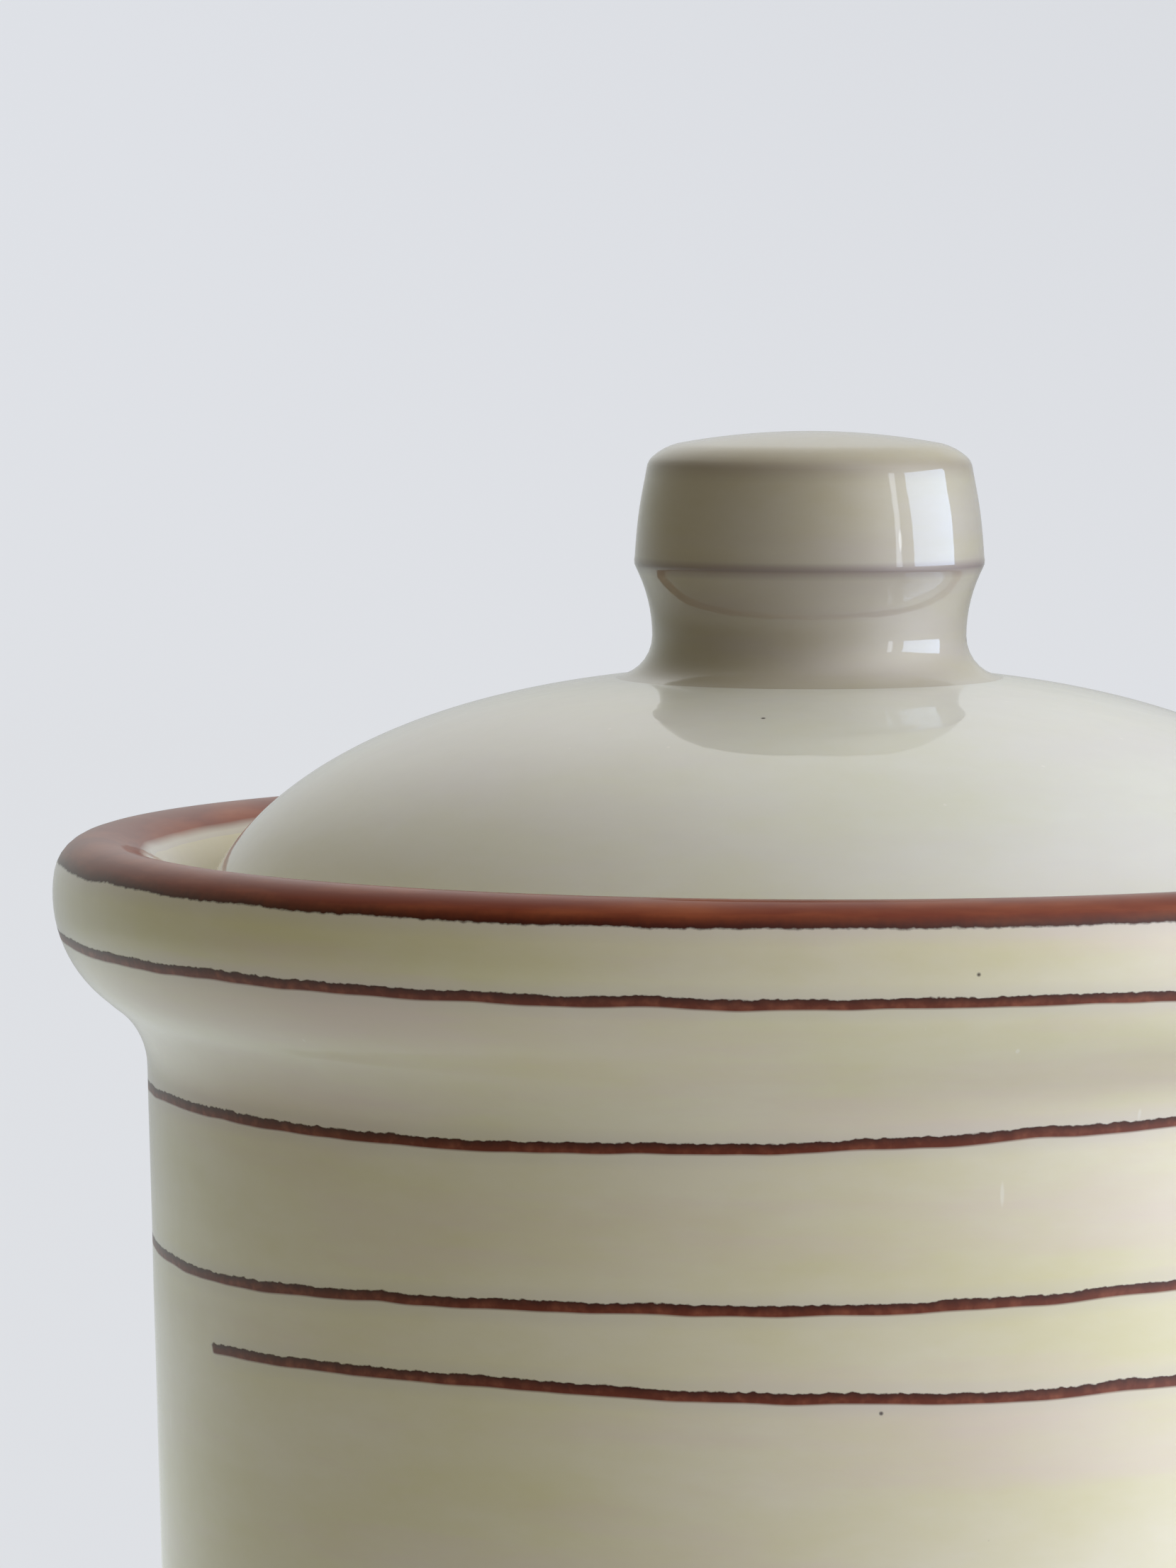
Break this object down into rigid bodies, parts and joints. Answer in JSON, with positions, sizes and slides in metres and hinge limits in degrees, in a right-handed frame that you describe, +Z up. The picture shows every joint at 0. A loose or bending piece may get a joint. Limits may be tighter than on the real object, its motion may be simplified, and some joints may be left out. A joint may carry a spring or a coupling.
{
  "type": "food canister",
  "caption": "Round glazed stoneware canister with a flared, rolled collar and a domed lid that rests inside it and lifts off by a waisted turned knob.",
  "frame": {"origin": "centre of the foot ring, on the surface the canister stands on", "axes": "+Z up along the axis of the jar and lid; the object is turned about Z, so X and Y are any two level directions"},
  "size_m": [0.1302, 0.1302, 0.1849],
  "materials": {
    "cream_glaze": "clear glossy glaze over a cream stoneware body",
    "brown_banding": "iron brown painted by hand under the glaze, glossy",
    "bare_stoneware": "unglazed fired clay, matt"
  },
  "bodies": {
    "jar": {"jar": "cream_glaze"},
    "lid": {"lid": "cream_glaze", "knob": "cream_glaze"}
  },
  "joints": [
    {"name": "lid_lift", "type": "slide", "parent": "jar", "child": "lid", "axis": [0, 0, 1], "range_m": [0, 0.12]}
  ]
}
